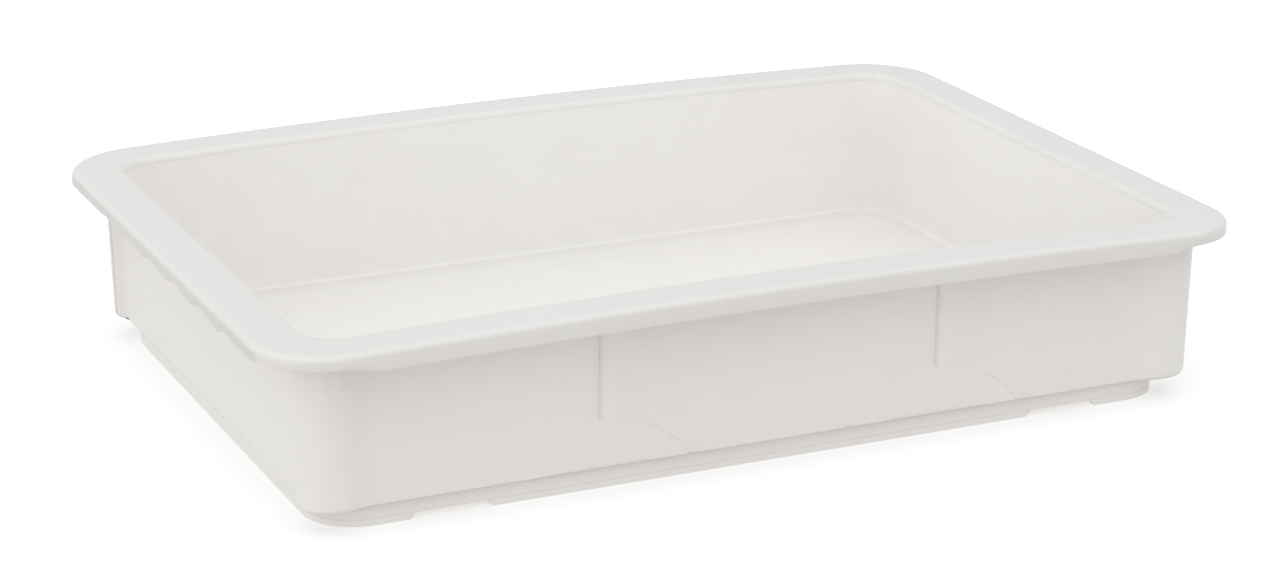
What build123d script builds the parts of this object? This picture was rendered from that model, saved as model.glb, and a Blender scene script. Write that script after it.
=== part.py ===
from build123d import *
import math
import os

# A deep, free-standing processing tray moulded in white plastic: a rectangular basin
# with a wide turned-down rim, four corner posts that let trays stack, and a
# stepped-in plinth on low feet. The tray is one moulding. It is written out section by
# section, each section meeting its neighbours face to face on shared split planes.
# X runs along the tray, Y across it, Z up. The origin is the centre of the footprint,
# on the plane the feet stand on.

# ---- overall sizes, mm
rim_length = 457.0
rim_width = 330.0
rim_height = 83.0          # top of the rim at its corners
rim_crown = 3.8            # how much higher the rim stands at mid length
rim_corner_radius = 35.0

# ---- rim: flat flange with rounded edges, and a turned-down skirt
flange_thickness = 3.2
flange_edge_round = 2.6
lip_radius = 3.0           # where the flange turns down into the basin
skirt_depth = 9.1          # rim's top to the skirt's lower edge, on the long sides
skirt_thickness = 2.8

# ---- finger grips: the skirt is shorter round the corners and along the ends, and each
# end has a row of lobes, as many as its straight part has room for
grip_skirt_depth = 6.0
run_in_setback = 29.5      # from the tray's end to where the skirt begins to deepen
run_in_length = 19.0       # it reaches its full depth over this length
lobe_pitch = 36.0
lobe_offset = 18.0         # the row's middle lobe, measured from the end's middle
lobe_drop = 1.4            # each lobe hangs this far below the grip's edge
notch_rise = 1.0           # and the notch beside it rises this far above the edge
notch_beside = 10.0        # from a lobe's tip to the top of that notch

# ---- walls
wall_inset = 22.0          # from the rim's outer edge in to the walls' foot, all round
wall_thickness = 3.8
wall_draft = 1.4           # degrees, the walls open upwards
wall_corner_radius = 15.0

# ---- corner posts, proud of both walls they join
post_proud = 4.4
post_along_x = 17.9
post_along_y = 14.9
post_corner_radius = 13.0
post_blend = 9.0           # the post runs into the long wall over this length
post_blend_round = 16.0
post_step = 3.5            # and into the end wall over this one, with crisper edges
post_step_round = 1.0

# ---- long walls: upright grooves, each standing on a half disc
groove_places = (-80.0, 80.0)
groove_flank_radius = 6.0
groove_depth = 3.3
disc_radius = 50.0
disc_rise = 22.0           # top of the disc above the walls' foot
disc_line_width = 0.8
disc_line_depth = 0.45

# ---- base: plinth under the walls, floor and foot rails
foot_height = 2.7
plinth_top = 9.8           # height of the walls' foot
plinth_setback = 3.4       # the plinth stands this far in from the walls' foot
plinth_corner_radius = 23.0
plinth_wall = 3.0
floor_thickness = 3.0
cove_radius = 5.5          # between the floor and the plinth's inner face
foot_rail_width = 4.0
notch_to_corner = 16.1     # from a notch in a long foot rail to the rail's rounded corner
notch_length = 36.0
notch_slope = 2.2          # how far each end of a notch leans

# ---- worked out from the sizes above
half_length = rim_length / 2
half_width = rim_width / 2
wall_top = rim_height + rim_crown
crown_radius = (half_length ** 2 + rim_crown ** 2) / (2 * rim_crown)
crown_centre_z = wall_top - crown_radius
wall_lean = math.tan(math.radians(wall_draft))
wall_inset_top = wall_inset - (wall_top - plinth_top) * wall_lean
ledge_top = plinth_top + plinth_wall
plinth_inset = wall_inset + plinth_setback
basin_inset = wall_inset_top + wall_thickness + (wall_top - ledge_top) * wall_lean
plinth_inner_inset = plinth_inset + plinth_wall
plinth_inner_radius = plinth_corner_radius - plinth_wall
floor_top = foot_height + floor_thickness
floor_inset = plinth_inner_inset + cove_radius
post_inset = wall_inset - post_proud
post_end_x = half_length - post_inset - post_along_x
post_end_y = half_width - post_inset - post_along_y
split_x = post_end_x - post_blend
split_y = post_end_y - post_step - 2 * post_step_round
notch_far = half_length - plinth_inset - plinth_corner_radius - notch_to_corner
notch_near = notch_far - notch_length
run_in_far = half_length - run_in_setback
run_in_near = run_in_far - run_in_length
grip_end = half_width - rim_corner_radius
lobe_run_out = lobe_pitch - notch_beside
lobe_room = 2 * (grip_end - lobe_run_out - lobe_offset)
lobe_count = 1 + math.floor(lobe_room / lobe_pitch)
over = 20.0                # how far a cutting block runs past what it cuts
cut_height = 4 * wall_top  # a cutting block this tall, centred on the feet, takes all
same_place = 0.01          # two points closer than this are one corner
CORNERS = {
    "front_left": (-1, -1),
    "front_right": (1, -1),
    "rear_left": (-1, 1),
    "rear_right": (1, 1),
}
LONG_SIDES = {"front": -1, "rear": 1}
END_SIDES = {"left": -1, "right": 1}


# ---- shapes that several sections share

def plan(inset, radius):
    """The tray's outline from above, drawn in from the rim's outer edge."""
    return RectangleRounded(rim_length - 2 * inset, rim_width - 2 * inset, radius)


def block(inset, radius, low, high):
    """A straight-sided block on that outline."""
    return Pos(0, 0, low) * extrude(plan(inset, radius), high - low)


def leaning(outline, low, high):
    """A block whose sides lean outwards with the walls' draft."""
    return Pos(0, 0, low) * extrude(outline, high - low, taper=-wall_draft)


def crown_height(x):
    """Height of the rim's arched top at this place along the tray."""
    return crown_centre_z + math.sqrt(crown_radius ** 2 - x ** 2)


def under_crown(depth):
    """Everything lower than a surface this far below the arched top of the rim."""
    reach = half_length + over
    radius = crown_radius - depth
    end = crown_centre_z + math.sqrt(radius ** 2 - reach ** 2)
    arc = ThreePointArc((-reach, end), (0, crown_centre_z + radius), (reach, end))
    below = Polyline((reach, end), (reach, -over), (-reach, -over), (-reach, end))
    profile = Plane.XZ * make_face(arc + below)
    return extrude(profile, half_width + over, both=True)


def basin():
    """The space inside the tray: between the walls, and a smaller well to the floor."""
    upper = leaning(plan(basin_inset, wall_corner_radius), ledge_top, wall_top + over)
    well = block(plinth_inner_inset, plinth_inner_radius, floor_top, ledge_top)
    well = fillet(well.edges().group_by(Axis.Z)[0], cove_radius)
    return upper + well


# ---- rim

def flange(inside):
    """The flat rim, arched along the tray, rounded at its edge and at the basin's lip."""
    ring = extrude(plan(0, rim_corner_radius), wall_top + over)
    ring = (ring & under_crown(0)) - under_crown(flange_thickness) - inside
    top = ring.faces().sort_by(Axis.Z)[-1]
    ring = fillet(top.outer_wire().edges(), flange_edge_round)
    top = ring.faces().sort_by(Axis.Z)[-1]
    return fillet(top.inner_wires()[0].edges(), lip_radius)


def grip_edge(side):
    """Points along one end skirt's lower edge, lobe by lobe, seen from outside."""
    low = rim_height - grip_skirt_depth
    first = lobe_offset - lobe_pitch * (lobe_count - 1) / 2
    last = first + lobe_pitch * (lobe_count - 1)
    points = [(side * (first - lobe_run_out), low)]
    for lobe in range(lobe_count):
        tip = first + lobe * lobe_pitch
        points.append((side * tip, low - lobe_drop))
        points.append((side * (tip + notch_beside), low + notch_rise))
    points.append((side * (last + lobe_run_out), low))
    return points


def grip_cutout(side):
    """What is cut away below the lobes of an end skirt, so that fingers reach under."""
    high = rim_height - grip_skirt_depth
    foot = rim_height - skirt_depth - over
    end = side * grip_end
    wave = grip_edge(side)
    before = Line((-end, high), wave[0])
    after = Line(wave[-1], (end, high))
    below = Polyline((end, high), (end, foot), (-end, foot), (-end, high))
    profile = Plane.YZ * make_face(before + Spline(*wave) + after + below)
    return Pos(side * half_length, 0, 0) * extrude(profile, rim_corner_radius, both=True)


def corner_cutout(side_x, side_y):
    """What is cut away below the skirt round one corner, up to where it is full depth."""
    foot = rim_height - skirt_depth - over
    high = rim_height - grip_skirt_depth
    points = [
        (run_in_near, crown_height(run_in_near) - skirt_depth),
        (run_in_far, crown_height(run_in_far) - grip_skirt_depth),
        (half_length, high),
        (half_length + over, high),
        (half_length + over, foot),
        (run_in_near, foot),
        (run_in_near, crown_height(run_in_near) - skirt_depth),
    ]
    profile = Plane.XZ * make_face(Polyline(*[(side_x * x, z) for x, z in points]))
    half_size_y = (half_width + over - grip_end) / 2
    place = Pos(0, side_y * (grip_end + half_size_y), 0)
    return place * extrude(profile, half_size_y, both=True)


def skirt():
    """The turned-down edge of the rim, with finger grips on both ends."""
    inner = plan(skirt_thickness, rim_corner_radius - skirt_thickness)
    ring = extrude(plan(0, rim_corner_radius) - inner, wall_top)
    ring = (ring & under_crown(flange_thickness)) - under_crown(skirt_depth)
    for side in END_SIDES.values():
        ring = ring - grip_cutout(side)
    for side_x, side_y in CORNERS.values():
        ring = ring - corner_cutout(side_x, side_y)
    return ring


# ---- walls and corner posts

def post_outline(side_x, side_y, inset):
    """One corner post from above, reaching into the walls behind it where they run straight."""
    outer_x = half_length - inset + post_proud
    outer_y = half_width - inset + post_proud
    wall_x = half_length - inset
    wall_y = half_width - inset
    blend_x = post_end_x - post_blend
    step_y = post_end_y - post_step
    straight_y = wall_y - wall_corner_radius
    points = [
        (outer_x, post_end_y),
        (outer_x, outer_y),
        (post_end_x, outer_y),
        (blend_x, wall_y),
        (blend_x, wall_y - wall_thickness),
        (wall_x - wall_thickness, straight_y),
        (wall_x, straight_y),
        (wall_x, step_y),
        (outer_x, post_end_y),
    ]
    return make_face(Polyline(*[(side_x * x, side_y * y) for x, y in points]))


def corners_at(outline, x, y):
    """The outline's four corner points that lie at plus or minus this place."""
    found = []
    for vertex in outline.vertices():
        if math.hypot(abs(vertex.X) - x, abs(vertex.Y) - y) < same_place:
            found.append(vertex)
    return found


def wall_outline(inset):
    """The walls and posts from above, where the walls stand this far in from the rim."""
    outline = plan(inset, wall_corner_radius)
    for side_x, side_y in CORNERS.values():
        outline = outline + post_outline(side_x, side_y, inset)
    wall_x = half_length - inset
    wall_y = half_width - inset
    rounds = [
        (wall_x + post_proud, wall_y + post_proud, post_corner_radius),
        (post_end_x, wall_y + post_proud, post_blend_round),
        (post_end_x - post_blend, wall_y, post_blend_round),
        (wall_x + post_proud, post_end_y, post_step_round),
        (wall_x, post_end_y - post_step, post_step_round),
    ]
    for x, y, radius in rounds:
        outline = fillet(corners_at(outline, x, y), radius)
    return outline


def groove_outline(place, side, inset):
    """One groove from above: two rounded flanks that meet in a line."""
    wall_y = side * (half_width - inset)
    root_y = wall_y - side * groove_depth
    half_mouth = math.sqrt(groove_flank_radius ** 2 - (groove_flank_radius - groove_depth) ** 2)
    left = TangentArc((place - half_mouth, wall_y), (place, root_y), tangent=(1, 0))
    right = TangentArc((place + half_mouth, wall_y), (place, root_y), tangent=(-1, 0))
    mouth = Polyline(left @ 0, (place, wall_y + side * groove_depth), right @ 0)
    return make_face(left + right + mouth)


def grooved_outline(inset):
    """The same outline with the grooves of both long walls taken out."""
    outline = wall_outline(inset)
    for place in groove_places:
        for side in LONG_SIDES.values():
            outline = outline - groove_outline(place, side, inset)
    return outline


def leaning_walls(outline_at):
    """A block between an outline at the walls' foot and the same outline at their top."""
    foot = Pos(0, 0, plinth_top) * outline_at(wall_inset)
    top = Pos(0, 0, wall_top) * outline_at(wall_inset_top)
    return loft([foot, top], ruled=True)


def disc(place, side, radius):
    """A solid disc that stands across a long wall, its lower part below the wall's foot."""
    centre_z = plinth_top + disc_rise - disc_radius
    middle = (place, side * (half_width - wall_inset), centre_z)
    across = Plane(origin=middle, z_dir=(0, 1, 0))
    return extrude(across * Circle(radius), wall_inset, both=True)


def shell():
    """The walls and posts as one leaning block, with grooves, discs and their outlines."""
    plain = leaning_walls(wall_outline)
    body = leaning_walls(grooved_outline)
    skin_plan = plan(wall_inset + disc_line_depth, wall_corner_radius)
    skin = leaning(skin_plan, plinth_top, wall_top)
    half_line = disc_line_width / 2
    for place in groove_places:
        for side in LONG_SIDES.values():
            body = body + (plain & disc(place, side, disc_radius))
            line = disc(place, side, disc_radius + half_line)
            line = line - disc(place, side, disc_radius - half_line)
            body = body - (line - skin)
    return body & under_crown(flange_thickness)


# ---- base

def plinth():
    """The narrower foot of the tray, and the floor inside it, before it is hollowed."""
    return block(plinth_inset, plinth_corner_radius, foot_height, plinth_top)


def notch(side_x, side_y):
    """One opening in a long foot rail, with leaning ends."""
    near = side_x * notch_near
    far = side_x * notch_far
    lean = side_x * notch_slope
    profile = make_face(
        Polyline(
            (near, 0),
            (near + lean, foot_height),
            (far - lean, foot_height),
            (far, 0),
            (near, 0),
        )
    )
    rail_y = side_y * (half_width - plinth_inset)
    return Pos(0, rail_y, 0) * extrude(Plane.XZ * profile, 2 * foot_rail_width, both=True)


def feet():
    """The rails the tray stands on: one along each long side, one round each end."""
    rail_inset = plinth_inset + foot_rail_width
    rail_radius = plinth_corner_radius - foot_rail_width
    ring = block(plinth_inset, plinth_corner_radius, 0, foot_height)
    ring = ring - block(rail_inset, rail_radius, 0, foot_height)
    for side_x in END_SIDES.values():
        for side_y in LONG_SIDES.values():
            ring = ring - notch(side_x, side_y)
    return ring.solids()


# ---- cutting the moulding into its sections

def corner_region(side_x, side_y):
    """Where one corner section lies, right through the tray's height."""
    size_x = half_length + over - split_x
    size_y = half_width + over - split_y
    place = Pos(side_x * (split_x + size_x / 2), side_y * (split_y + size_y / 2), 0)
    return place * Box(size_x, size_y, cut_height)


def long_region(side):
    """Where one long side's middle section lies."""
    size_y = half_width + over
    return Pos(0, side * size_y / 2, 0) * Box(2 * split_x, size_y, cut_height)


def end_region(side):
    """Where one end's middle section lies."""
    size_x = half_length + over - split_x
    place = Pos(side * (split_x + size_x / 2), 0, 0)
    return place * Box(size_x, 2 * split_y, cut_height)


def sections(ring, side_word, corner_word):
    """A ring cut into four sides and four corners, named for where they are."""
    parts = {}
    for name, side in LONG_SIDES.items():
        parts[f"{name}_{side_word}"] = ring & long_region(side)
    for name, side in END_SIDES.items():
        parts[f"{name}_{side_word}"] = ring & end_region(side)
    for name, (side_x, side_y) in CORNERS.items():
        parts[f"{name}_{corner_word}"] = ring & corner_region(side_x, side_y)
    return parts


def foot_name(solid):
    """A foot rail's name, from where its middle is."""
    centre = solid.center()
    if abs(centre.X) > half_length / 2:
        return "left_foot" if centre.X < 0 else "right_foot"
    return "front_foot" if centre.Y < 0 else "rear_foot"


def tray():
    """Every section of the tray by name."""
    inside = basin()
    floor_radius = plinth_inner_radius - cove_radius
    floor = block(floor_inset, floor_radius, foot_height, floor_top)
    base_ring = plinth() - inside - block(floor_inset, floor_radius, foot_height, wall_top)
    parts = {"floor_panel": floor}
    parts.update(sections(flange(inside), "rim", "rim_corner"))
    parts.update(sections(skirt(), "skirt", "skirt_corner"))
    parts.update(sections(shell() - inside, "wall", "post"))
    parts.update(sections(base_ring, "plinth", "plinth_corner"))
    for solid in feet():
        parts[foot_name(solid)] = solid
    return parts


os.makedirs("parts", exist_ok=True)
for node, shape in tray().items():
    export_step(shape, f"parts/{node}.step")
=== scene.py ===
# %% [markdown]
# # A deep moulded processing tray
# The real tray is a single injection moulding in white plastic. It has an arched rim, four
# corner posts that carry a stacked tray, grooved long walls and a plinth on low rails.
# Nothing on it moves, so everything rides on the one body of the frame. It could be made by
# modelling the shell once and cutting into it. Here each region is built from a rule
# instead, because a rule keeps every edge exact and can be read again later.

# %% Load the frame
import math

import bmesh
import bpy
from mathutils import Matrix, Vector


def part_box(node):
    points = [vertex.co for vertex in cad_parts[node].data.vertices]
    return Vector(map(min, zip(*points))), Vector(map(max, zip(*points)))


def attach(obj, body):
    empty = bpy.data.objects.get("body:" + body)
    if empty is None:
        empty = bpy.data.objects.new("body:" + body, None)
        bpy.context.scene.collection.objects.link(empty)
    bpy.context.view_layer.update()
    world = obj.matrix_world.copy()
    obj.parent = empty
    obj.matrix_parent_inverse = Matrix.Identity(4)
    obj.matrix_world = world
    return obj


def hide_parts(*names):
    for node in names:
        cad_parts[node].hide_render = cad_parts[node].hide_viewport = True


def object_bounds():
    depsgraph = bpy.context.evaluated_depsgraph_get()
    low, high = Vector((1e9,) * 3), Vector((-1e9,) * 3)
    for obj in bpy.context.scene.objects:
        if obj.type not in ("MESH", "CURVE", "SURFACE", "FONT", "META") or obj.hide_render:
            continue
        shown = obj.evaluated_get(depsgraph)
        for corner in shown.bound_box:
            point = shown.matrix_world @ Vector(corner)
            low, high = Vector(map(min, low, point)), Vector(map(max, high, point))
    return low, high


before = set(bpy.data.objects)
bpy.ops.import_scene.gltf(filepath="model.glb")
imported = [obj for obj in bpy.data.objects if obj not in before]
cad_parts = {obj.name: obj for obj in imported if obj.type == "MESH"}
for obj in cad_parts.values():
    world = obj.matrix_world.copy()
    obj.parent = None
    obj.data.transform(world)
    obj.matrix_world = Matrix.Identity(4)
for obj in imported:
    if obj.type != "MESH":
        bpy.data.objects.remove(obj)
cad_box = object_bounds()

print("frame holds", len(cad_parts), "nodes")

# %% [markdown]
# ## Sizes
# The overall sizes are read from the frame, so the looks always fit the design. Small
# shaping sizes that a box can't show, such as a radius, are named here once, in metres.

# %% Sizes
mm = 0.001
low_corner, high_corner = (Vector(corner) for corner in cad_box)
half_length = (high_corner.x - low_corner.x) / 2
half_width = (high_corner.y - low_corner.y) / 2
crown = 3.8 * mm
rim_height = high_corner.z - crown
foot_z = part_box("front_wall")[0].z
plinth_inset = half_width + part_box("front_plinth")[0].y
rail_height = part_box("front_foot")[1].z
floor_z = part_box("floor_panel")[1].z

rim_radius = 35 * mm
flange_thickness = 3.2 * mm
flange_edge_round = 2.6 * mm
lip_radius = 3.0 * mm
skirt_thickness = 2.8 * mm
skirt_depth = 9.1 * mm
grip_depth = 6 * mm
skirt_edge_round = 1.0 * mm
run_in_setback = 29.5 * mm   # from the tray's end to where the skirt begins to deepen
run_in_length = 19 * mm
lobe_pitch = 36 * mm
lobe_offset = 18 * mm
lobe_count = 5
lobe_drop = 1.4 * mm
notch_rise = 1.0 * mm
notch_beside = 10 * mm

wall_inset = 22 * mm
wall_thickness = 3.8 * mm
wall_lean = math.tan(math.radians(1.4))
wall_radius = 8.6 * mm       # a post's rounded corner, less how far the post stands out
panel_height = 74 * mm
basin_radius = 15 * mm
plinth_radius = 23 * mm
plinth_wall = 3 * mm
cove_radius = 5.5 * mm

post_proud = 4.4 * mm
post_inset = wall_inset - post_proud
post_along_x = 14.4 * mm
post_along_y = 14.5 * mm
post_blend = 16 * mm         # a soft run into the long wall
post_step = 4.3 * mm         # a quick one into the end wall
step_line_along = 14.9 * mm  # the fine line of painted shade at that step

ledge_z = foot_z + plinth_wall
well_inset = plinth_inset + plinth_wall
well_radius = plinth_radius - plinth_wall
wall_inset_top = wall_inset - (high_corner.z - foot_z) * wall_lean
basin_inset_top = wall_inset_top + wall_thickness
print("rim", round(half_length * 2, 4), "by", round(half_width * 2, 4), "m")

# %% [markdown]
# ## Writing node trees as sums
# Shader and geometry trees are both wired from sockets. Wrapping a socket in a small class
# lets an expression such as `1 - mask` add its own Math node, which is far easier to read
# than a page of links. Any other node comes from the one method `add`.

# %% A socket that works like a number


class Wire:
    """A socket of a node tree, used like a number."""

    def __init__(self, tree, socket=None):
        self.tree = tree
        self.socket = socket

    def add(self, kind, settings=None, inputs=None, output=0):
        """Add a node: its settings first, then the values or links of its sockets."""
        node = self.tree.nodes.new(kind)
        for name, value in (settings or {}).items():
            setattr(node, name, value)
        for name, value in (inputs or {}).items():
            if isinstance(value, Wire):
                self.tree.links.new(value.socket, node.inputs[name])
            else:
                node.inputs[name].default_value = value
        return Wire(self.tree, node.outputs[output])

    def math(self, operation, *values):
        return self.add("ShaderNodeMath", {"operation": operation}, dict(enumerate(values)))

    def __add__(self, other):
        return self.math("ADD", self, other)

    __radd__ = __add__

    def __sub__(self, other):
        return self.math("SUBTRACT", self, other)

    def __rsub__(self, other):
        return self.math("SUBTRACT", other, self)

    def __mul__(self, other):
        return self.math("MULTIPLY", self, other)

    __rmul__ = __mul__

    def __truediv__(self, other):
        return self.math("DIVIDE", self, other)

    def __rtruediv__(self, other):
        return self.math("DIVIDE", other, self)

    def __abs__(self):
        return self.math("ABSOLUTE", self)

    def root(self):
        return self.math("SQRT", self)

    def cosine(self):
        return self.math("COSINE", self)

    def sign(self):
        return self.math("SIGN", self)

    def remainder(self, length):
        """What is left after taking off whole lengths, never negative."""
        return self.math("FLOORED_MODULO", self, length)

    def at_least(self, low):
        return self.math("MAXIMUM", self, low)

    def above(self, other):
        """One where this is greater than the other, and nothing elsewhere."""
        return self.math("GREATER_THAN", self, other)

    def between(self, low, high):
        """This value, held between two limits."""
        return self.math("MINIMUM", self.at_least(low), high)

    def smooth(self, start, end):
        """A soft step from nothing at start to one at end."""
        inputs = {"Value": self, "From Min": start, "From Max": end}
        return self.add("ShaderNodeMapRange", {"interpolation_type": "SMOOTHSTEP"}, inputs)

    def parts(self):
        """The three parts of a vector."""
        node = self.tree.nodes.new("ShaderNodeSeparateXYZ")
        self.tree.links.new(self.socket, node.inputs[0])
        return [Wire(self.tree, output) for output in node.outputs]

    def vector(self, x, y, z):
        return self.add("ShaderNodeCombineXYZ", None, {"X": x, "Y": y, "Z": z})


print("wires ready")

# %% [markdown]
# ## Geometry trees and plain meshes
# Each tree gets named inputs, so its sizes can be changed on the modifier. When it has run,
# the result is copied out as a plain mesh and the helper object is thrown away. A finished
# moulding has no cracks, so every mesh is checked for open edges.

# %% Helpers for trees and meshes


def new_tree(name, sizes):
    """A geometry tree with these named number inputs, a geometry and a material."""
    tree = bpy.data.node_groups.new(name, "GeometryNodeTree")
    face = tree.interface
    face.new_socket(name="Geometry", in_out="OUTPUT", socket_type="NodeSocketGeometry")
    face.new_socket(name="Geometry", in_out="INPUT", socket_type="NodeSocketGeometry")
    face.new_socket(name="Material", in_out="INPUT", socket_type="NodeSocketMaterial")
    for size in sizes:
        face.new_socket(name=size, in_out="INPUT", socket_type="NodeSocketFloat")
    for kind in ("Section", "Path"):
        face.new_socket(name=kind, in_out="INPUT", socket_type="NodeSocketObject")
    entry = tree.nodes.new("NodeGroupInput")
    return tree, {socket.name: Wire(tree, socket) for socket in entry.outputs}


def end_tree(tree, geometry, material):
    """Close a tree: real geometry with its material."""
    real = geometry.add("GeometryNodeRealizeInstances", None, {"Geometry": geometry})
    done = real.add("GeometryNodeSetMaterial", None, {"Geometry": real, "Material": material})
    exit_node = tree.nodes.new("NodeGroupOutput")
    tree.links.new(done.socket, exit_node.inputs[0])


def run_tree(tree, mesh, name, values):
    """Run a tree on a mesh with these input values and return a plain mesh object."""
    helper = bpy.data.objects.new(name + "_blank", mesh)
    bpy.context.scene.collection.objects.link(helper)
    modifier = helper.modifiers.new("shape", "NODES")
    modifier.node_group = tree
    for item in tree.interface.items_tree:
        if item.in_out == "INPUT" and item.name in values:
            modifier[item.identifier] = values[item.name]
    depsgraph = bpy.context.evaluated_depsgraph_get()
    result = bpy.data.meshes.new_from_object(helper.evaluated_get(depsgraph))
    helper.modifiers.remove(modifier)
    bpy.data.objects.remove(helper)
    return finish_mesh(result, name)


def finish_mesh(mesh, name, crease=32):
    """Merge doubles, turn faces outwards, shade smooth up to the crease, and report."""
    shape = bmesh.new()
    shape.from_mesh(mesh)
    bmesh.ops.remove_doubles(shape, verts=shape.verts, dist=0.001 * mm)
    bmesh.ops.dissolve_degenerate(shape, edges=shape.edges, dist=0.0005 * mm)
    bmesh.ops.recalc_face_normals(shape, faces=shape.faces)
    open_edges = sum(1 for edge in shape.edges if len(edge.link_faces) != 2)
    if shape.calc_volume(signed=True) < 0:
        bmesh.ops.reverse_faces(shape, faces=shape.faces)
    triangles = sum(len(face.verts) - 2 for face in shape.faces)
    shape.to_mesh(mesh)
    shape.free()
    mesh.shade_smooth()
    mesh.set_sharp_from_angle(angle=math.radians(crease))
    piece = bpy.data.objects.new(name, mesh)
    bpy.context.scene.collection.objects.link(piece)
    print(name, "triangles", triangles, "open edges", open_edges)
    return piece


# %% [markdown]
# ## The plastic
# The tray is a warm white plastic with a soft gloss. A flat colour would look like
# paint, so the tone drifts a little, fine grain breaks up the highlights, the odd dark
# fleck sits in the plastic, and handling leaves faint scuffs. Painted shade greys the rim
# and its end skirts, and lies in fine lines at the posts' steps and the walls' foot.
# Everything reads Object coordinates, so it stays put whatever the view.

# %% The white plastic


def plastic(name, roughness=0.36, scuffs=0.4, grain=0.5, overall_painted_shade=0.0, painted_shade_rule=None):
    """Moulded white plastic, with more or less handling wear.

    A share of grey over the whole piece paints shade onto it. A rule may also take a place
    and say, from nothing to one, how much painted shade lies there.
    """
    material = bpy.data.materials.new(name)
    material.use_nodes = True
    tree = material.node_tree
    tree.nodes.clear()
    start = Wire(tree)
    place = start.add("ShaderNodeTexCoord", output="Object")

    def noise(scale, detail, stretch=(1, 1, 1)):
        shaped = start.add("ShaderNodeMapping", None, {"Vector": place, "Scale": stretch})
        inputs = {"Vector": shaped, "Scale": scale, "Detail": detail}
        return start.add("ShaderNodeTexNoise", None, inputs)

    drift = noise(11, 3)
    clouding = noise(70, 4)
    streaks = noise(42, 5, (1, 1, 9))
    fleck_cells = {"Vector": place, "Scale": 48, "Randomness": 1.0}
    near_fleck = start.add("ShaderNodeTexVoronoi", None, fleck_cells, "Distance")
    cell_colour = start.add("ShaderNodeTexVoronoi", None, fleck_cells, "Color")
    chosen = cell_colour.parts()[0].above(0.94)
    fleck = (1 - near_fleck.smooth(0.012, 0.03)) * chosen
    scratches = noise(260, 2, (1, 0.06, 1)).smooth(0.66, 0.74)
    cross = noise(240, 2, (0.05, 1, 1)).smooth(0.67, 0.75)
    worn = (scratches + cross).between(0, 1) * noise(16, 2).smooth(0.5, 0.68) * scuffs

    tone = (drift * 0.5 + clouding * 0.3 + streaks * 0.2).smooth(0.36, 0.64)
    pair = {0: tone, 6: (0.940, 0.922, 0.897, 1), 7: (0.957, 0.942, 0.920, 1)}
    white = start.add("ShaderNodeMix", {"data_type": "RGBA"}, pair, 2)
    scuffed = {0: worn * 0.22, 6: white, 7: (0.60, 0.585, 0.56, 1)}
    white = start.add("ShaderNodeMix", {"data_type": "RGBA"}, scuffed, 2)
    flecked = {0: fleck * 0.8, 6: white, 7: (0.16, 0.14, 0.12, 1)}
    white = start.add("ShaderNodeMix", {"data_type": "RGBA"}, flecked, 2)
    # Painted shade: a grey is mixed into the colour where the piece should look shaded.
    shade_share = overall_painted_shade if painted_shade_rule is None else overall_painted_shade + painted_shade_rule(place) * (1 - overall_painted_shade)
    shade_pair = {0: shade_share, 6: white, 7: (0.42, 0.40, 0.375, 1)}
    white = start.add("ShaderNodeMix", {"data_type": "RGBA"}, shade_pair, 2)

    fine = noise(900, 3)
    peel = noise(170, 2)
    height = fine * 0.35 + peel * 0.65 - worn * 0.5
    bumps = {"Height": height, "Strength": grain, "Distance": 0.04 * mm}
    normal = start.add("ShaderNodeBump", None, bumps)
    gloss = roughness + (clouding - 0.5) * 0.10 + worn * 0.18
    shader = start.add(
        "ShaderNodeBsdfPrincipled",
        None,
        {"Base Color": white, "Roughness": gloss, "Normal": normal, "IOR": 1.49},
    )
    output = tree.nodes.new("ShaderNodeOutputMaterial")
    tree.links.new(shader.socket, output.inputs["Surface"])
    print("material", name)
    return material


def grip_painted_shade(place):
    """Painted shade on the end skirts, below the rounded edge of the rim."""
    x, _, z = place.parts()
    at_end = abs(x).smooth(half_length - 1.6 * mm, half_length - 0.2 * mm)
    low = 1 - z.smooth(rim_height - 2.4 * mm, rim_height - 0.6 * mm)
    return at_end * low * 0.34


def step_painted_shade(place):
    """Fine lines of painted shade where a post steps out of an end wall, and along the walls'
    foot.
    """
    x, y, z = place.parts()
    post_face = half_length - wall_inset + 1.0 * mm
    half_line = 0.7 * mm
    from_step = abs(abs(y) - step_line_y)
    foot = 1 - z.smooth(foot_z + 0.2 * mm, foot_z + 1.2 * mm)
    step = (1 - from_step / half_line).between(0, 1) * abs(x).above(post_face)
    return step * 0.55 + foot * (1 - step) * 0.38


step_line_y = half_width - post_inset - step_line_along
# The rim is greyed a little all over, and its end skirts more, as painted shade.
rim_plastic = plastic(
    "rim_plastic", roughness=0.34, scuffs=0.6, grain=0.45, overall_painted_shade=0.12, painted_shade_rule=grip_painted_shade
)
# The walls carry fine lines of painted shade at the posts' steps and along their foot.
wall_plastic = plastic(
    "wall_plastic", roughness=0.40, scuffs=0.25, grain=0.6, painted_shade_rule=step_painted_shade
)
base_plastic = plastic("base_plastic", roughness=0.30, scuffs=0.8, grain=0.45)
rail_plastic = plastic("rail_plastic", roughness=0.50, scuffs=1.0, grain=0.8)

# %% [markdown]
# ## Lines to sweep
# A section is the shape met when the moulding is sawn through. Its points are (inset from
# the rim's outer edge, height, corner radius at that inset), so one curve carries all that
# a sweep needs to know. Rounded stretches come from a quarter turn, not from typed points.

# %% Lines to sweep


def quarter(centre_inset, centre_height, radius, start, end, steps=6):
    """Points (inset, height) along an arc, angles in degrees."""
    points = []
    for step in range(steps + 1):
        angle = math.radians(start + (end - start) * step / steps)
        inset = centre_inset + radius * math.cos(angle)
        points.append((inset, centre_height + radius * math.sin(angle)))
    return points


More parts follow.
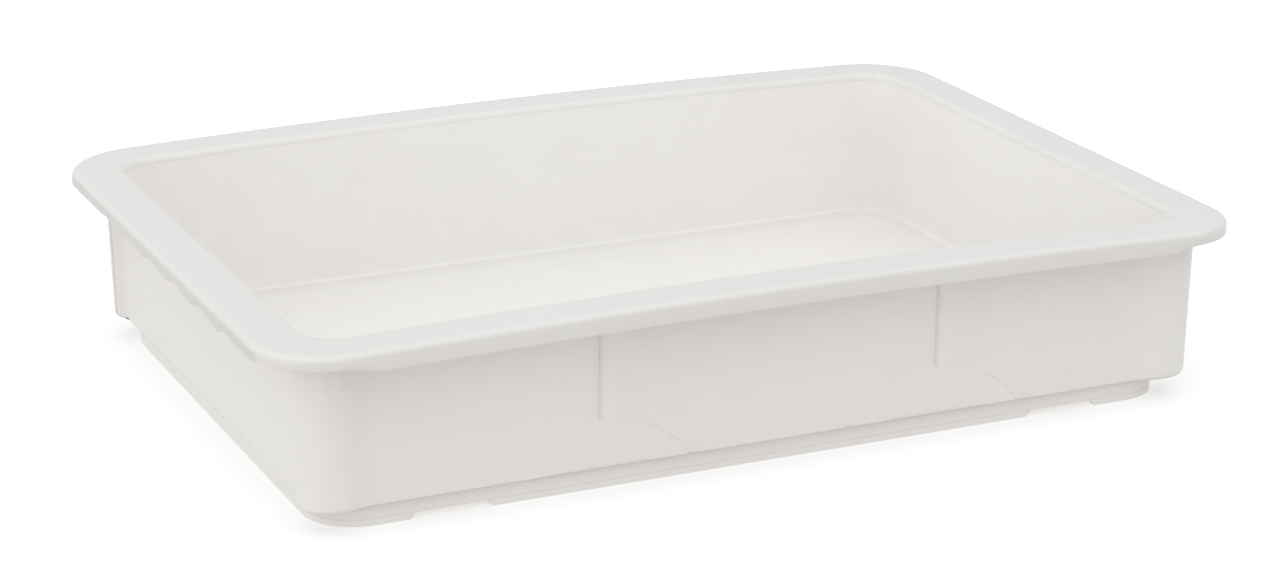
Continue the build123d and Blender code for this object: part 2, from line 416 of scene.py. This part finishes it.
def line_object(name, points, closed):
    """A curve object through these points, for a tree to read."""
    curve = bpy.data.curves.new(name, "CURVE")
    curve.dimensions = "3D"
    spline = curve.splines.new("POLY")
    spline.points.add(len(points) - 1)
    for slot, point in zip(spline.points, points):
        slot.co = (*point, 1)
    spline.use_cyclic_u = closed
    helper = bpy.data.objects.new(name, curve)
    bpy.context.scene.collection.objects.link(helper)
    return helper


def rim_section():
    """The rim sawn through, with heights measured from its arched top."""
    outer = flange_edge_round
    low = skirt_edge_round
    lip_start = basin_inset_top - lip_radius
    fillet = 1.2 * mm
    points = quarter(low, low - skirt_depth, low, 270, 180)
    points += quarter(outer, -outer, outer, 180, 90, 8)
    points += [(lip_start * share, 0.0) for share in (0.3, 0.5, 0.7, 0.85)]
    points += quarter(lip_start, -lip_radius, lip_radius, 90, 0, 8)
    points.append((basin_inset_top, -flange_thickness))
    under = skirt_thickness + fillet
    points.append((wall_inset_top, -flange_thickness))
    points += quarter(under, -flange_thickness - fillet, fillet, 90, 180, 4)
    points += quarter(skirt_thickness - low, low - skirt_depth, low, 0, -90)
    basin_top_radius = basin_radius + (high_corner.z - ledge_z) * wall_lean
    radii = []
    for inset, _ in points:
        share = min(max((inset - outer) / (lip_start - outer), 0), 1)
        outside = rim_radius - min(inset, outer)
        inside = basin_top_radius + lip_radius - max(inset - lip_start, 0)
        radii.append(outside + (inside - outside) * share)
    return [(i, h, r) for (i, h), r in zip(points, radii)]


section_of_rim = line_object("rim_section", rim_section(), closed=True)
print("rim section points", len(section_of_rim.data.splines[0].points))

# %% [markdown]
# ## The rim
# The rim follows one rule all the way round: a section swept along a rounded rectangle.
# It could be cut from a block, but its corner gets tighter from the outside in, the top is
# arched, and the end skirts carry a row of finger lobes. So a tree sweeps the section to
# get the faces, and then puts every point where the rule says. A point's nearest spot on
# the straight core of the rectangle tells which way is outwards.

# %% The rim tree


def outwards(wire, point, core_x, core_y):
    """The core point nearest to a point, and the direction out from it."""
    x, y, _ = point.parts()
    near_x = x.between(core_x * -1, core_x)
    near_y = y.between(core_y * -1, core_y)
    out = wire.vector(x - near_x, y - near_y, 0.0)
    unit = out.add("ShaderNodeVectorMath", {"operation": "NORMALIZE"}, {0: out})
    return near_x, near_y, unit


def lobe_wave(along, first, pitch, beside, drop, rise):
    """How far the grip's edge moves up: below zero at a lobe, above it at a notch."""
    turn = ((along - first) / pitch).remainder(1.0)
    share = beside / pitch
    rising = turn.between(0, share) / share
    falling = (turn - share).at_least(0.0) / (1 - share)
    wave = ((rising + falling) * math.pi).cosine()
    return (rise - drop) * 0.5 - wave * ((rise + drop) * 0.5)


rim_sizes = [
    "Half length", "Half width", "Corner radius", "Rim height", "Crown",
    "Flange thickness", "Skirt thickness", "Skirt depth", "Grip depth",
    "Run in setback", "Run in length",
    "Lobe pitch", "Lobe offset", "Lobe count", "Lobe drop", "Notch rise", "Notch beside",
]
rim_tree, rim_in = new_tree("swept_rim", rim_sizes)


def build_rim_tree():
    """Wire the rim's rule."""
    size = rim_in
    wire = Wire(rim_tree)
    frame_curve = wire.add(
        "GeometryNodeCurvePrimitiveQuadrilateral",
        None,
        {"Width": size["Half length"] * 2, "Height": size["Half width"] * 2},
    )
    rounded = wire.add(
        "GeometryNodeFilletCurve",
        None,
        {"Curve": frame_curve, "Radius": size["Corner radius"]},
    )
    fillet_node = rounded.socket.node
    if "Mode" in fillet_node.inputs:
        fillet_node.inputs["Mode"].default_value = "Poly"
    else:
        fillet_node.mode = "POLY"
    fillet_node.inputs["Count"].default_value = 40
    path = wire.add("GeometryNodeResampleCurve", None, {"Curve": rounded, "Count": 960})
    here = wire.add("GeometryNodeInputPosition")
    store = {"data_type": "FLOAT_VECTOR", "domain": "POINT"}
    path = wire.add(
        "GeometryNodeStoreNamedAttribute",
        store,
        {"Geometry": path, "Name": "path_point", "Value": here},
    )
    info = wire.add("GeometryNodeObjectInfo", None, {"Object": size["Section"]}, "Geometry")
    section = wire.add(
        "GeometryNodeStoreNamedAttribute",
        store,
        {"Geometry": info, "Name": "section_point", "Value": here},
    )
    swept = wire.add(
        "GeometryNodeCurveToMesh", None, {"Curve": path, "Profile Curve": section}
    )
    read = {"data_type": "FLOAT_VECTOR"}
    on_path = wire.add("GeometryNodeInputNamedAttribute", read, {"Name": "path_point"})
    on_section = wire.add("GeometryNodeInputNamedAttribute", read, {"Name": "section_point"})

    core_x = size["Half length"] - size["Corner radius"]
    core_y = size["Half width"] - size["Corner radius"]
    near_x, near_y, out = outwards(wire, on_path, core_x, core_y)
    out_x, out_y, _ = out.parts()
    inset, height, radius = on_section.parts()
    x = near_x / core_x * (size["Half length"] - inset - radius) + out_x * radius
    y = near_y / core_y * (size["Half width"] - inset - radius) + out_y * radius

    path_x, path_y, _ = on_path.parts()
    side = path_x.sign()
    middle = (size["Lobe count"] - 1) * size["Lobe pitch"] * 0.5
    first = size["Lobe offset"] - middle
    last = size["Lobe offset"] + middle
    run_out = size["Lobe pitch"] - size["Notch beside"]
    along = path_y * side
    wave = lobe_wave(
        along, first, size["Lobe pitch"], size["Notch beside"],
        size["Lobe drop"], size["Notch rise"],
    )
    fade = 8 * mm
    in_row = along.smooth(first - run_out - fade, first - run_out + fade)
    in_row = in_row * (1 - along.smooth(last + run_out - fade, last + run_out + fade))
    grip = size["Grip depth"] - wave * in_row
    run_in_far = size["Half length"] - size["Run in setback"]
    full = 1 - abs(x).smooth(run_in_far - size["Run in length"], run_in_far)
    depth = grip + (size["Skirt depth"] - grip) * full
    below = (height * -1 - size["Flange thickness"]).between(0, 1)
    skirt_reach = 1.6
    is_skirt = (size["Skirt thickness"] * skirt_reach).above(inset)
    shorter = (size["Skirt depth"] - depth) / (size["Skirt depth"] - size["Flange thickness"])
    lifted = height + below * shorter * is_skirt
    share = x / size["Half length"]
    top = size["Rim height"] + size["Crown"] * (1 - share * share)
    placed = wire.add(
        "GeometryNodeSetPosition",
        None,
        {"Geometry": swept, "Position": wire.vector(x, y, top + lifted)},
    )
    end_tree(rim_tree, placed, size["Material"])


build_rim_tree()
rim = run_tree(
    rim_tree, bpy.data.meshes.new("rim_blank"), "rim",
    {
        "Material": rim_plastic, "Section": section_of_rim,
        "Half length": half_length, "Half width": half_width,
        "Corner radius": rim_radius, "Rim height": rim_height, "Crown": crown,
        "Flange thickness": flange_thickness, "Skirt thickness": skirt_thickness,
        "Skirt depth": skirt_depth, "Grip depth": grip_depth,
        "Run in setback": run_in_setback, "Run in length": run_in_length,
        "Lobe pitch": lobe_pitch, "Lobe offset": lobe_offset,
        "Lobe count": float(lobe_count), "Lobe drop": lobe_drop,
        "Notch rise": notch_rise, "Notch beside": notch_beside,
    },
)
bpy.data.objects.remove(section_of_rim)

# %% [markdown]
# ## Rings round the tray
# Walls and base are stacks of rings. Each ring has an inset, a corner radius and a height.
# All rings of a piece share the same stations, so neighbours join up with plain quads. The
# stations crowd together where something happens, at a post's step or a groove, and
# spread out where the wall is plain.

# %% Rings round the tray


def stations(long_places, end_places, corner_steps=10):
    """(share of x, share of y, angle) all the way round, anticlockwise from the front."""
    found = []
    sides = [
        (-90, [(place, -1) for place in long_places]),
        (0, [(1, place) for place in end_places]),
        (90, [(-place, 1) for place in long_places]),
        (180, [(-1, -place) for place in end_places]),
    ]
    for angle, places in sides:
        found += [(x, y, math.radians(angle)) for x, y in places]
        corner_x, corner_y = places[-1]
        for step in range(1, corner_steps):
            turned = math.radians(angle + 90 * step / corner_steps)
            found.append((corner_x, corner_y, turned))
    return found


def ring_point(station, inset, radius):
    """Where a ring of this inset and corner radius passes a station."""
    share_x, share_y, angle = station
    x = share_x * (half_length - inset - radius) + radius * math.cos(angle)
    y = share_y * (half_width - inset - radius) + radius * math.sin(angle)
    return x, y


def arch(x, drop=0.0):
    """Height of the rim's arched top above this x, less a drop."""
    return rim_height + crown * (1 - (x / half_length) ** 2) - drop


def stack(name, around, rows, closed):
    """A mesh from rows, each a function of a station; closed joins the last to the first."""
    mesh = bpy.data.meshes.new(name)
    points = [row(station) for row in rows for station in around]
    count = len(around)
    faces = []
    for row in range(len(rows) if closed else len(rows) - 1):
        upper = (row + 1) % len(rows)
        for step in range(count):
            ahead = (step + 1) % count
            faces.append(
                (row * count + step, row * count + ahead,
                 upper * count + ahead, upper * count + step)
            )
    if not closed:
        faces.append(tuple(reversed(range(count))))
        faces.append(tuple(range((len(rows) - 1) * count, len(rows) * count)))
    mesh.from_pydata(points, [], faces)
    return mesh


def flat_row(inset, radius, height):
    """A level ring."""
    return lambda station: (*ring_point(station, inset, radius), height)


print("ring helpers ready")

# %% [markdown]
# ## The walls
# The blank is a plain leaning wall. Posts, grooves, half discs and their fine outline are
# pressed into it by a tree, which moves each point in or out by a sum of simple rules. The
# blank's rows follow the top of each half disc, so its outline comes out clean without
# needing tiny faces everywhere.

# %% The walls' blank
groove_at = 80 * mm
disc_radius = 50 * mm
disc_centre_z = foot_z + 22 * mm - disc_radius
line_half = 0.4 * mm
flank_radius = 6 * mm
groove_depth = 3.3 * mm
groove_mouth = math.sqrt(flank_radius ** 2 - (flank_radius - groove_depth) ** 2)
post_start_x = half_length - post_inset - post_along_x
post_start_y = half_width - post_inset - post_along_y
core_x = half_length - wall_inset - wall_radius
core_y = half_width - wall_inset - wall_radius


def spread(start, end, step):
    """Evenly spread places from start up to, but not at, end."""
    count = max(1, round((end - start) / step))
    return [start + (end - start) * k / count for k in range(count)]


def mirrored(places):
    """Places on both sides of the middle."""
    return sorted({-place for place in places} | set(places))


def long_places():
    """Stations along a long wall, as shares of its straight length."""
    half_chord = math.sqrt(disc_radius ** 2 - (foot_z - disc_centre_z) ** 2)
    left, right = groove_at - half_chord, groove_at + half_chord
    places = spread(0, left, 5 * mm) + spread(left, groove_at - groove_mouth, 1.8 * mm)
    places += spread(groove_at - groove_mouth, groove_at, 0.55 * mm)
    places += spread(groove_at, groove_at + groove_mouth, 0.55 * mm)
    places += spread(groove_at + groove_mouth, right, 1.8 * mm)
    places += spread(right, post_start_x - post_blend, 5 * mm)
    places += spread(post_start_x - post_blend, post_start_x, 0.5 * mm)
    places += spread(post_start_x, core_x, 2 * mm) + [core_x]
    return [place / core_x for place in mirrored(places)]


def end_places():
    """Stations along an end wall, crowded where a post steps out of it."""
    places = spread(0, post_start_y - post_step, 5 * mm)
    places += spread(post_start_y - post_step, post_start_y, 0.35 * mm)
    places += spread(post_start_y, core_y, 0.8 * mm) + [core_y]
    return [place / core_y for place in mirrored(places)]


def disc_top(x, y):
    """Height of the half disc's edge at x, or a low stand-in where there is no disc."""
    aside = abs(abs(x) - groove_at)
    lowest = 0.25 * mm
    if abs(y) < half_width - wall_inset - wall_radius or aside >= disc_radius:
        return foot_z + 3.4 * mm, line_half
    rise = math.sqrt(disc_radius ** 2 - aside ** 2)
    beyond = max(0.0, foot_z - (disc_centre_z + rise))
    stand_in = foot_z + min(lowest + 0.4 * beyond, 3.4 * mm)
    height = max(disc_centre_z + rise, stand_in)
    return height, line_half * disc_radius / rise


def outer_row(below=None, line=None, above=None):
    """One row up the outer wall: a share below the disc's edge, in it, or above it."""

    def row(station):
        base_x, base_y = ring_point(station, wall_inset, wall_radius)
        edge, half = disc_top(base_x, base_y)
        half = min(half, (edge - foot_z) * 0.45)
        top = arch(base_x, flange_thickness)
        if below is not None:
            height = foot_z + (edge - half - foot_z) * below
        elif line is not None:
            height = edge + half * line
        else:
            height = edge + half + (top - edge - half) * above
        lean = (height - foot_z) * wall_lean
        x, y = ring_point(station, wall_inset - lean, wall_radius + lean)
        return x, y, height

    return row


def inner_row(share):
    """One row down the inner wall, from the rim's underside to the ledge."""

    def row(station):
        start_x, _ = ring_point(station, basin_inset_top, basin_radius)
        top = arch(start_x, flange_thickness)
        height = top + (ledge_z + 1.0 * mm - top) * share
        opened = (height - ledge_z) * wall_lean
        bottom = basin_inset_top + (high_corner.z - ledge_z) * wall_lean
        x, y = ring_point(station, bottom - opened, basin_radius + opened)
        return x, y, height

    return row


def wall_rows():
    """Every row of the walls' blank, up the outside, down the inside and back under."""
    rows = [outer_row(below=share) for share in (0, 0.05, 0.13, 0.25, 0.42, 0.65, 0.9, 1)]
    rows += [outer_row(line=share) for share in (-0.5, 0, 0.5, 1)]
    rows += [outer_row(above=share / 14) for share in range(1, 15)]
    rows += [inner_row(share / 10) for share in range(11)]
    basin_inset = basin_inset_top + (high_corner.z - ledge_z) * wall_lean
    foot_round = 1.0 * mm
    for angle in (30, 60, 90):
        turn = math.radians(angle)
        inset = basin_inset + foot_round * (1 - math.cos(turn))
        height = ledge_z + foot_round * (1 - math.sin(turn))
        rows.append(flat_row(inset, basin_radius, height))
    edge_round = 0.7 * mm
    for angle in (0, 30, 60, 90):
        turn = math.radians(angle)
        inset = well_inset - edge_round * (1 - math.sin(turn))
        height = ledge_z - edge_round * (1 - math.cos(turn))
        rows.append(flat_row(inset, well_radius, height))
    rows.append(flat_row(well_inset, well_radius, foot_z))
    rows.append(flat_row(plinth_inset, plinth_radius, foot_z))
    return rows


wall_blank = stack("wall_blank", stations(long_places(), end_places()), wall_rows(), True)
press = wall_blank.attributes.new("press", "FLOAT", "POINT")
outer_rows = 26
ring_size = len(stations(long_places(), end_places()))
for index, item in enumerate(press.data):
    item.value = 1.0 if index < outer_rows * ring_size else 0.0
print("wall blank", len(wall_blank.polygons), "faces,", ring_size, "stations")

# %% [markdown]
# The pressing itself: each rule gives a distance, and the distances are simply added.

# %% The wall tree
wall_sizes = [
    "Half length", "Half width", "Wall inset", "Wall radius", "Foot height",
    "Post proud", "Post start X", "Post start Y", "Post blend", "Post step",
    "Post foot round", "Panel foot round", "Groove place", "Flank radius",
    "Groove mouth", "Disc radius", "Disc centre", "Line half width", "Line depth",
    "Panel belly",
]
wall_tree, wall_in = new_tree("pressed_walls", wall_sizes)


def build_wall_tree():
    """Wire the walls' rules."""
    size = wall_in
    wire = Wire(wall_tree)
    here = wire.add("GeometryNodeInputPosition")
    pressed = wire.add(
        "GeometryNodeInputNamedAttribute", {"data_type": "FLOAT"}, {"Name": "press"}
    )
    straight_x = size["Half length"] - size["Wall inset"] - size["Wall radius"]
    straight_y = size["Half width"] - size["Wall inset"] - size["Wall radius"]
    _, _, out = outwards(wire, here, straight_x, straight_y)
    x, y, z = here.parts()
    away_x = abs(x)
    away_y = abs(y)
    on_end = away_x.above(straight_x) * (1 - away_y.above(straight_y))

    blend_start = size["Post start X"] - size["Post blend"]
    along_long = away_x.smooth(blend_start, size["Post start X"]) * size["Post proud"]
    step_start = size["Post start Y"] - size["Post step"]
    along_end = away_y.smooth(step_start, size["Post start Y"]) * size["Post proud"]
    post = along_long + (along_end - along_long) * on_end

    aside = abs(away_x - size["Groove place"])
    flank = (size["Groove mouth"] - aside).between(0, size["Groove mouth"])
    radius = size["Flank radius"]
    groove = (radius * radius - flank * flank).root() - radius
    up = z - size["Disc centre"]
    reach = (aside * aside + up * up).root() - size["Disc radius"]
    on_long = away_y.above(straight_y)
    groove = groove * (reach / size["Line half width"]).between(0, 1) * on_long
    line = (1 - abs(reach) / size["Line half width"]).between(0, 1) * size["Line depth"]
    line = line * on_long

    on_post = (post / size["Post proud"]).between(0, 1)
    foot_round = size["Panel foot round"] + size["Post foot round"] * on_post
    under = (foot_round - (z - size["Foot height"])).between(0, foot_round)
    foot = foot_round - (foot_round * foot_round - under * under).root()

    along = (away_x / straight_x) * on_long + (away_y / straight_y) * on_end
    tall = ((z - size["Foot height"]) / panel_height).between(0, 1)
    belly = (1 - along * along).between(0, 1) * tall * (1 - tall) * 4
    moved = post + groove - line - foot + belly * size["Panel belly"]
    offset = out.add(
        "ShaderNodeVectorMath", {"operation": "SCALE"}, {0: out, "Scale": moved * pressed}
    )
    placed = wire.add(
        "GeometryNodeSetPosition", None, {"Geometry": size["Geometry"], "Offset": offset}
    )
    end_tree(wall_tree, placed, size["Material"])


build_wall_tree()
walls = run_tree(
    wall_tree, wall_blank, "walls",
    {
        "Material": wall_plastic,
        "Half length": half_length, "Half width": half_width,
        "Wall inset": wall_inset, "Wall radius": wall_radius, "Foot height": foot_z,
        "Post proud": post_proud, "Post start X": post_start_x,
        "Post start Y": post_start_y, "Post blend": post_blend,
        "Post step": post_step, "Post foot round": 2.4 * mm,
        "Panel foot round": 0.5 * mm, "Groove place": groove_at,
        "Flank radius": flank_radius, "Groove mouth": groove_mouth,
        "Disc radius": disc_radius, "Disc centre": disc_centre_z,
        "Line half width": line_half, "Line depth": 0.4 * mm, "Panel belly": 0.2 * mm,
    },
)

# %% [markdown]
# ## The base
# Under the walls a narrower plinth goes down to the floor. Inside, a generous cove makes
# it easy to wipe out. The base is a closed stack of rings, capped flat above and below.

# %% The base


def base_rows():
    """Rings from the middle of the underside, out, up and in again to the floor."""
    cap_inset, cap_radius = 60 * mm, 12 * mm
    soft = 0.4 * mm
    rows = [flat_row(cap_inset, cap_radius, rail_height)]
    rows.append(flat_row(plinth_inset + soft, plinth_radius - soft, rail_height))
    rows.append(flat_row(plinth_inset, plinth_radius, rail_height + soft))
    rows.append(flat_row(plinth_inset, plinth_radius, foot_z))
    rows.append(flat_row(well_inset, well_radius, foot_z))
    for step in range(9):
        turn = math.radians(90 * step / 8)
        inset = well_inset + cove_radius * (1 - math.cos(turn))
        height = floor_z + cove_radius * (1 - math.sin(turn))
        rows.append(flat_row(inset, well_radius - (inset - well_inset), height))
    rows.append(flat_row(cap_inset, cap_radius, floor_z))
    return rows


even = [step / 20 - 1 for step in range(41)]
base_mesh = stack("base_blank", stations(even, even, 16), base_rows(), False)
base_mesh.materials.append(base_plastic)
base = finish_mesh(base_mesh, "base")

# %% [markdown]
# ## The foot rails
# Two rails run round the ends and one along each long side, with openings between them.
# Each is the same bar swept along its own line, so one tree makes all four. The bar's ends
# lean, which lets the moulding leave its tool.

# %% The rail tree
rail_width = 4 * mm
rail_inset = plinth_inset + rail_width / 2
rail_radius = plinth_radius - rail_width / 2
rail_tree, rail_in = new_tree("swept_rail", ["Rail height", "End lean"])


def build_rail_tree():
    """Wire the rails' rule."""
    wire = Wire(rail_tree)
    store = {"data_type": "FLOAT_VECTOR", "domain": "POINT"}
    path = wire.add("GeometryNodeObjectInfo", None, {"Object": rail_in["Path"]}, "Geometry")
    bar = wire.add("GeometryNodeObjectInfo", None, {"Object": rail_in["Section"]}, "Geometry")
    ends = {"Start Size": 0, "End Size": 1}
    at_end = wire.add("GeometryNodeCurveEndpointSelection", None, ends)
    ends = {"Start Size": 1, "End Size": 0}
    at_start = wire.add("GeometryNodeCurveEndpointSelection", None, ends)
    tangent = wire.add("GeometryNodeInputTangent")
    push = tangent.add(
        "ShaderNodeVectorMath",
        {"operation": "SCALE"},
        {0: tangent, "Scale": at_end - at_start},
    )
    path = wire.add(
        "GeometryNodeStoreNamedAttribute",
        store,
        {"Geometry": path, "Name": "push", "Value": push},
    )
    swept = wire.add(
        "GeometryNodeCurveToMesh",
        None,
        {"Curve": path, "Profile Curve": bar, "Fill Caps": True},
    )
    read = {"data_type": "FLOAT_VECTOR"}
    pushed = wire.add("GeometryNodeInputNamedAttribute", read, {"Name": "push"})
    height = wire.add("GeometryNodeInputPosition").parts()[2]
    lean = (height / rail_in["Rail height"]).between(0, 1) * rail_in["End lean"]
    offset = pushed.add(
        "ShaderNodeVectorMath", {"operation": "SCALE"}, {0: pushed, "Scale": lean}
    )
    placed = wire.add(
        "GeometryNodeSetPosition", None, {"Geometry": swept, "Offset": offset}
    )
    end_tree(rail_tree, placed, rail_in["Material"])


def bar_section():
    """The bar from its end: square above, with softened lower edges."""
    half = rail_width / 2
    soft = 0.5 * mm
    middle = rail_height / 2
    corners = quarter(soft - half, soft - middle, soft, 180, 270, 4)
    corners += quarter(half - soft, soft - middle, soft, 270, 360, 4)
    corners += [(half, middle), (-half, middle)]
    return [(across, up, 0.0) for across, up in corners]


def end_path(side, notch_far):
    """The line of an end rail, round both corners."""
    straight_x = half_length - rail_inset - rail_radius
    straight_y = half_width - rail_inset - rail_radius
    level = rail_height / 2
    points = [(side * notch_far, -side * (straight_y + rail_radius), level)]
    for sign, first in ((-1, -90), (1, 0)):
        for step in range(13):
            angle = math.radians(first + 90 * step / 12)
            x = straight_x + rail_radius * math.cos(angle)
            y = sign * straight_y + rail_radius * math.sin(angle)
            points.append((side * x, side * y, level))
    points.append((side * notch_far, side * (straight_y + rail_radius), level))
    return points


def long_path(side, notch_near):
    """The line of a long side's rail."""
    y = side * (half_width - rail_inset)
    return [(-notch_near, y, rail_height / 2), (notch_near, y, rail_height / 2)]


build_rail_tree()
lean = 2.2 * mm
notch_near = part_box("front_foot")[1].x - lean
notch_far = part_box("right_foot")[0].x + lean
bar = line_object("bar_section", bar_section(), closed=True)
paths = {
    "front_foot": long_path(-1, notch_near),
    "rear_foot": long_path(1, notch_near),
    "left_foot": end_path(-1, notch_far),
    "right_foot": end_path(1, notch_far),
}
feet = {}
for node, points in paths.items():
    route = line_object(node + "_path", points, closed=False)
    feet[node] = run_tree(
        rail_tree, bpy.data.meshes.new(node), node + "_rail",
        {
            "Material": rail_plastic, "Section": bar, "Path": route,
            "Rail height": rail_height, "End lean": lean,
        },
    )
    bpy.data.objects.remove(route)
bpy.data.objects.remove(bar)

# %% [markdown]
# ## Tying the looks to the frame
# Each piece stands in for the frame's own sections of the moulding, which stay hidden for
# collision. One body carries them all.

# %% Tie the pieces to the frame


def nodes_named(*words):
    """The frame's nodes whose names hold one of these words."""
    return [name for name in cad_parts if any(word in name for word in words)]


def tie(piece, nodes):
    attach(piece, "root")
    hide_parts(*nodes)
    print(piece.name, "stands for", len(nodes), "nodes")


tie(rim, nodes_named("_rim", "_skirt"))
tie(walls, nodes_named("_wall", "_post"))
tie(base, nodes_named("_plinth", "floor_panel"))
for node, piece in feet.items():
    tie(piece, [node])

# %% [markdown]
# ## Floor, light and camera
# White plastic needs pale, soft surroundings, with one side a little stronger so that the
# forms turn. Lamps alone would leave hard edges in the gloss, so a whole bright room does
# most of the work. One low strip on the left lifts the end wall, and a weak bounce from
# the floor in front lifts the lower part of the long wall.

# %% Floor and light


def pale_floor():
    mesh = bpy.data.meshes.new("floor")
    reach = 6.0
    corners = [(-reach, -reach, 0), (reach, -reach, 0), (reach, reach, 0), (-reach, reach, 0)]
    mesh.from_pydata(corners, [], [(0, 1, 2, 3)])
    material = bpy.data.materials.new("pale_floor")
    material.use_nodes = True
    shader = material.node_tree.nodes["Principled BSDF"]
    shader.inputs["Base Color"].default_value = (0.88, 0.88, 0.88, 1)
    shader.inputs["Roughness"].default_value = 0.9
    shader.inputs["Emission Color"].default_value = (1, 1, 1, 1)
    shader.inputs["Emission Strength"].default_value = 0.32
    mesh.materials.append(material)
    floor = bpy.data.objects.new("floor", mesh)
    bpy.context.scene.collection.objects.link(floor)
    floor.visible_diffuse = False


def soft_lamp(name, place, target, size, power):
    light = bpy.data.lights.new(name, "AREA")
    light.shape = "RECTANGLE"
    light.size, light.size_y = size
    light.energy = power
    lamp = bpy.data.objects.new(name, light)
    lamp.location = place
    facing = Vector(target) - Vector(place)
    lamp.rotation_euler = facing.to_track_quat("-Z", "Y").to_euler()
    lamp.visible_camera = False
    bpy.context.scene.collection.objects.link(lamp)


def surroundings(ground, horizon, overhead, zenith, from_left, from_front):
    """A white room over a warmer ground, stronger on the left and in front."""
    world = bpy.data.worlds.new("studio")
    world.use_nodes = True
    start = Wire(world.node_tree)
    facing = start.add("ShaderNodeTexCoord", output="Generated")
    x, y, z = facing.parts()
    risen = z.smooth(-0.12, 0.0)
    high = z.smooth(0.02, 0.22)
    steep = z.smooth(0.35, 0.95)
    sky = overhead + steep * (zenith - overhead) - x * from_left - y * from_front
    strength = ground + risen * (horizon - ground)
    strength = strength + high * (sky - strength)
    tints = {0: risen, 6: (1.0, 0.965, 0.935, 1), 7: (0.992, 0.996, 1.0, 1)}
    colour = start.add("ShaderNodeMix", {"data_type": "RGBA"}, tints, 2)
    room = world.node_tree.nodes["Background"]
    world.node_tree.links.new(colour.socket, room.inputs["Color"])
    world.node_tree.links.new(strength.socket, room.inputs["Strength"])
    bpy.context.scene.world = world


pale_floor()
surroundings(
    ground=0.57, horizon=0.70, overhead=0.76, zenith=1.06, from_left=0.12, from_front=0.16
)
soft_lamp("left_strip", (-1.8, -0.3, 0.12), (0, 0, 0.04), (1.0, 0.18), 2.3)
soft_lamp("front_bounce", (0, -0.19, 0.001), (0, -0.19, 1), (0.44, 0.06), 0.008)
bpy.context.scene.view_settings.view_transform = "Standard"
print("studio lit")

# %% Camera


def place_camera():
    heading = math.radians(24.334)
    tilt = math.radians(18.313)
    data = bpy.data.cameras.new("camera")
    data.sensor_width = 36.0
    data.lens = 92.79
    camera = bpy.data.objects.new("camera", data)
    camera.location = (-0.59674, -1.32484, 0.51558)
    camera.rotation_euler = (math.radians(90) - tilt, 0, -heading)
    bpy.context.scene.collection.objects.link(camera)
    bpy.context.scene.camera = camera


place_camera()
print("camera placed")
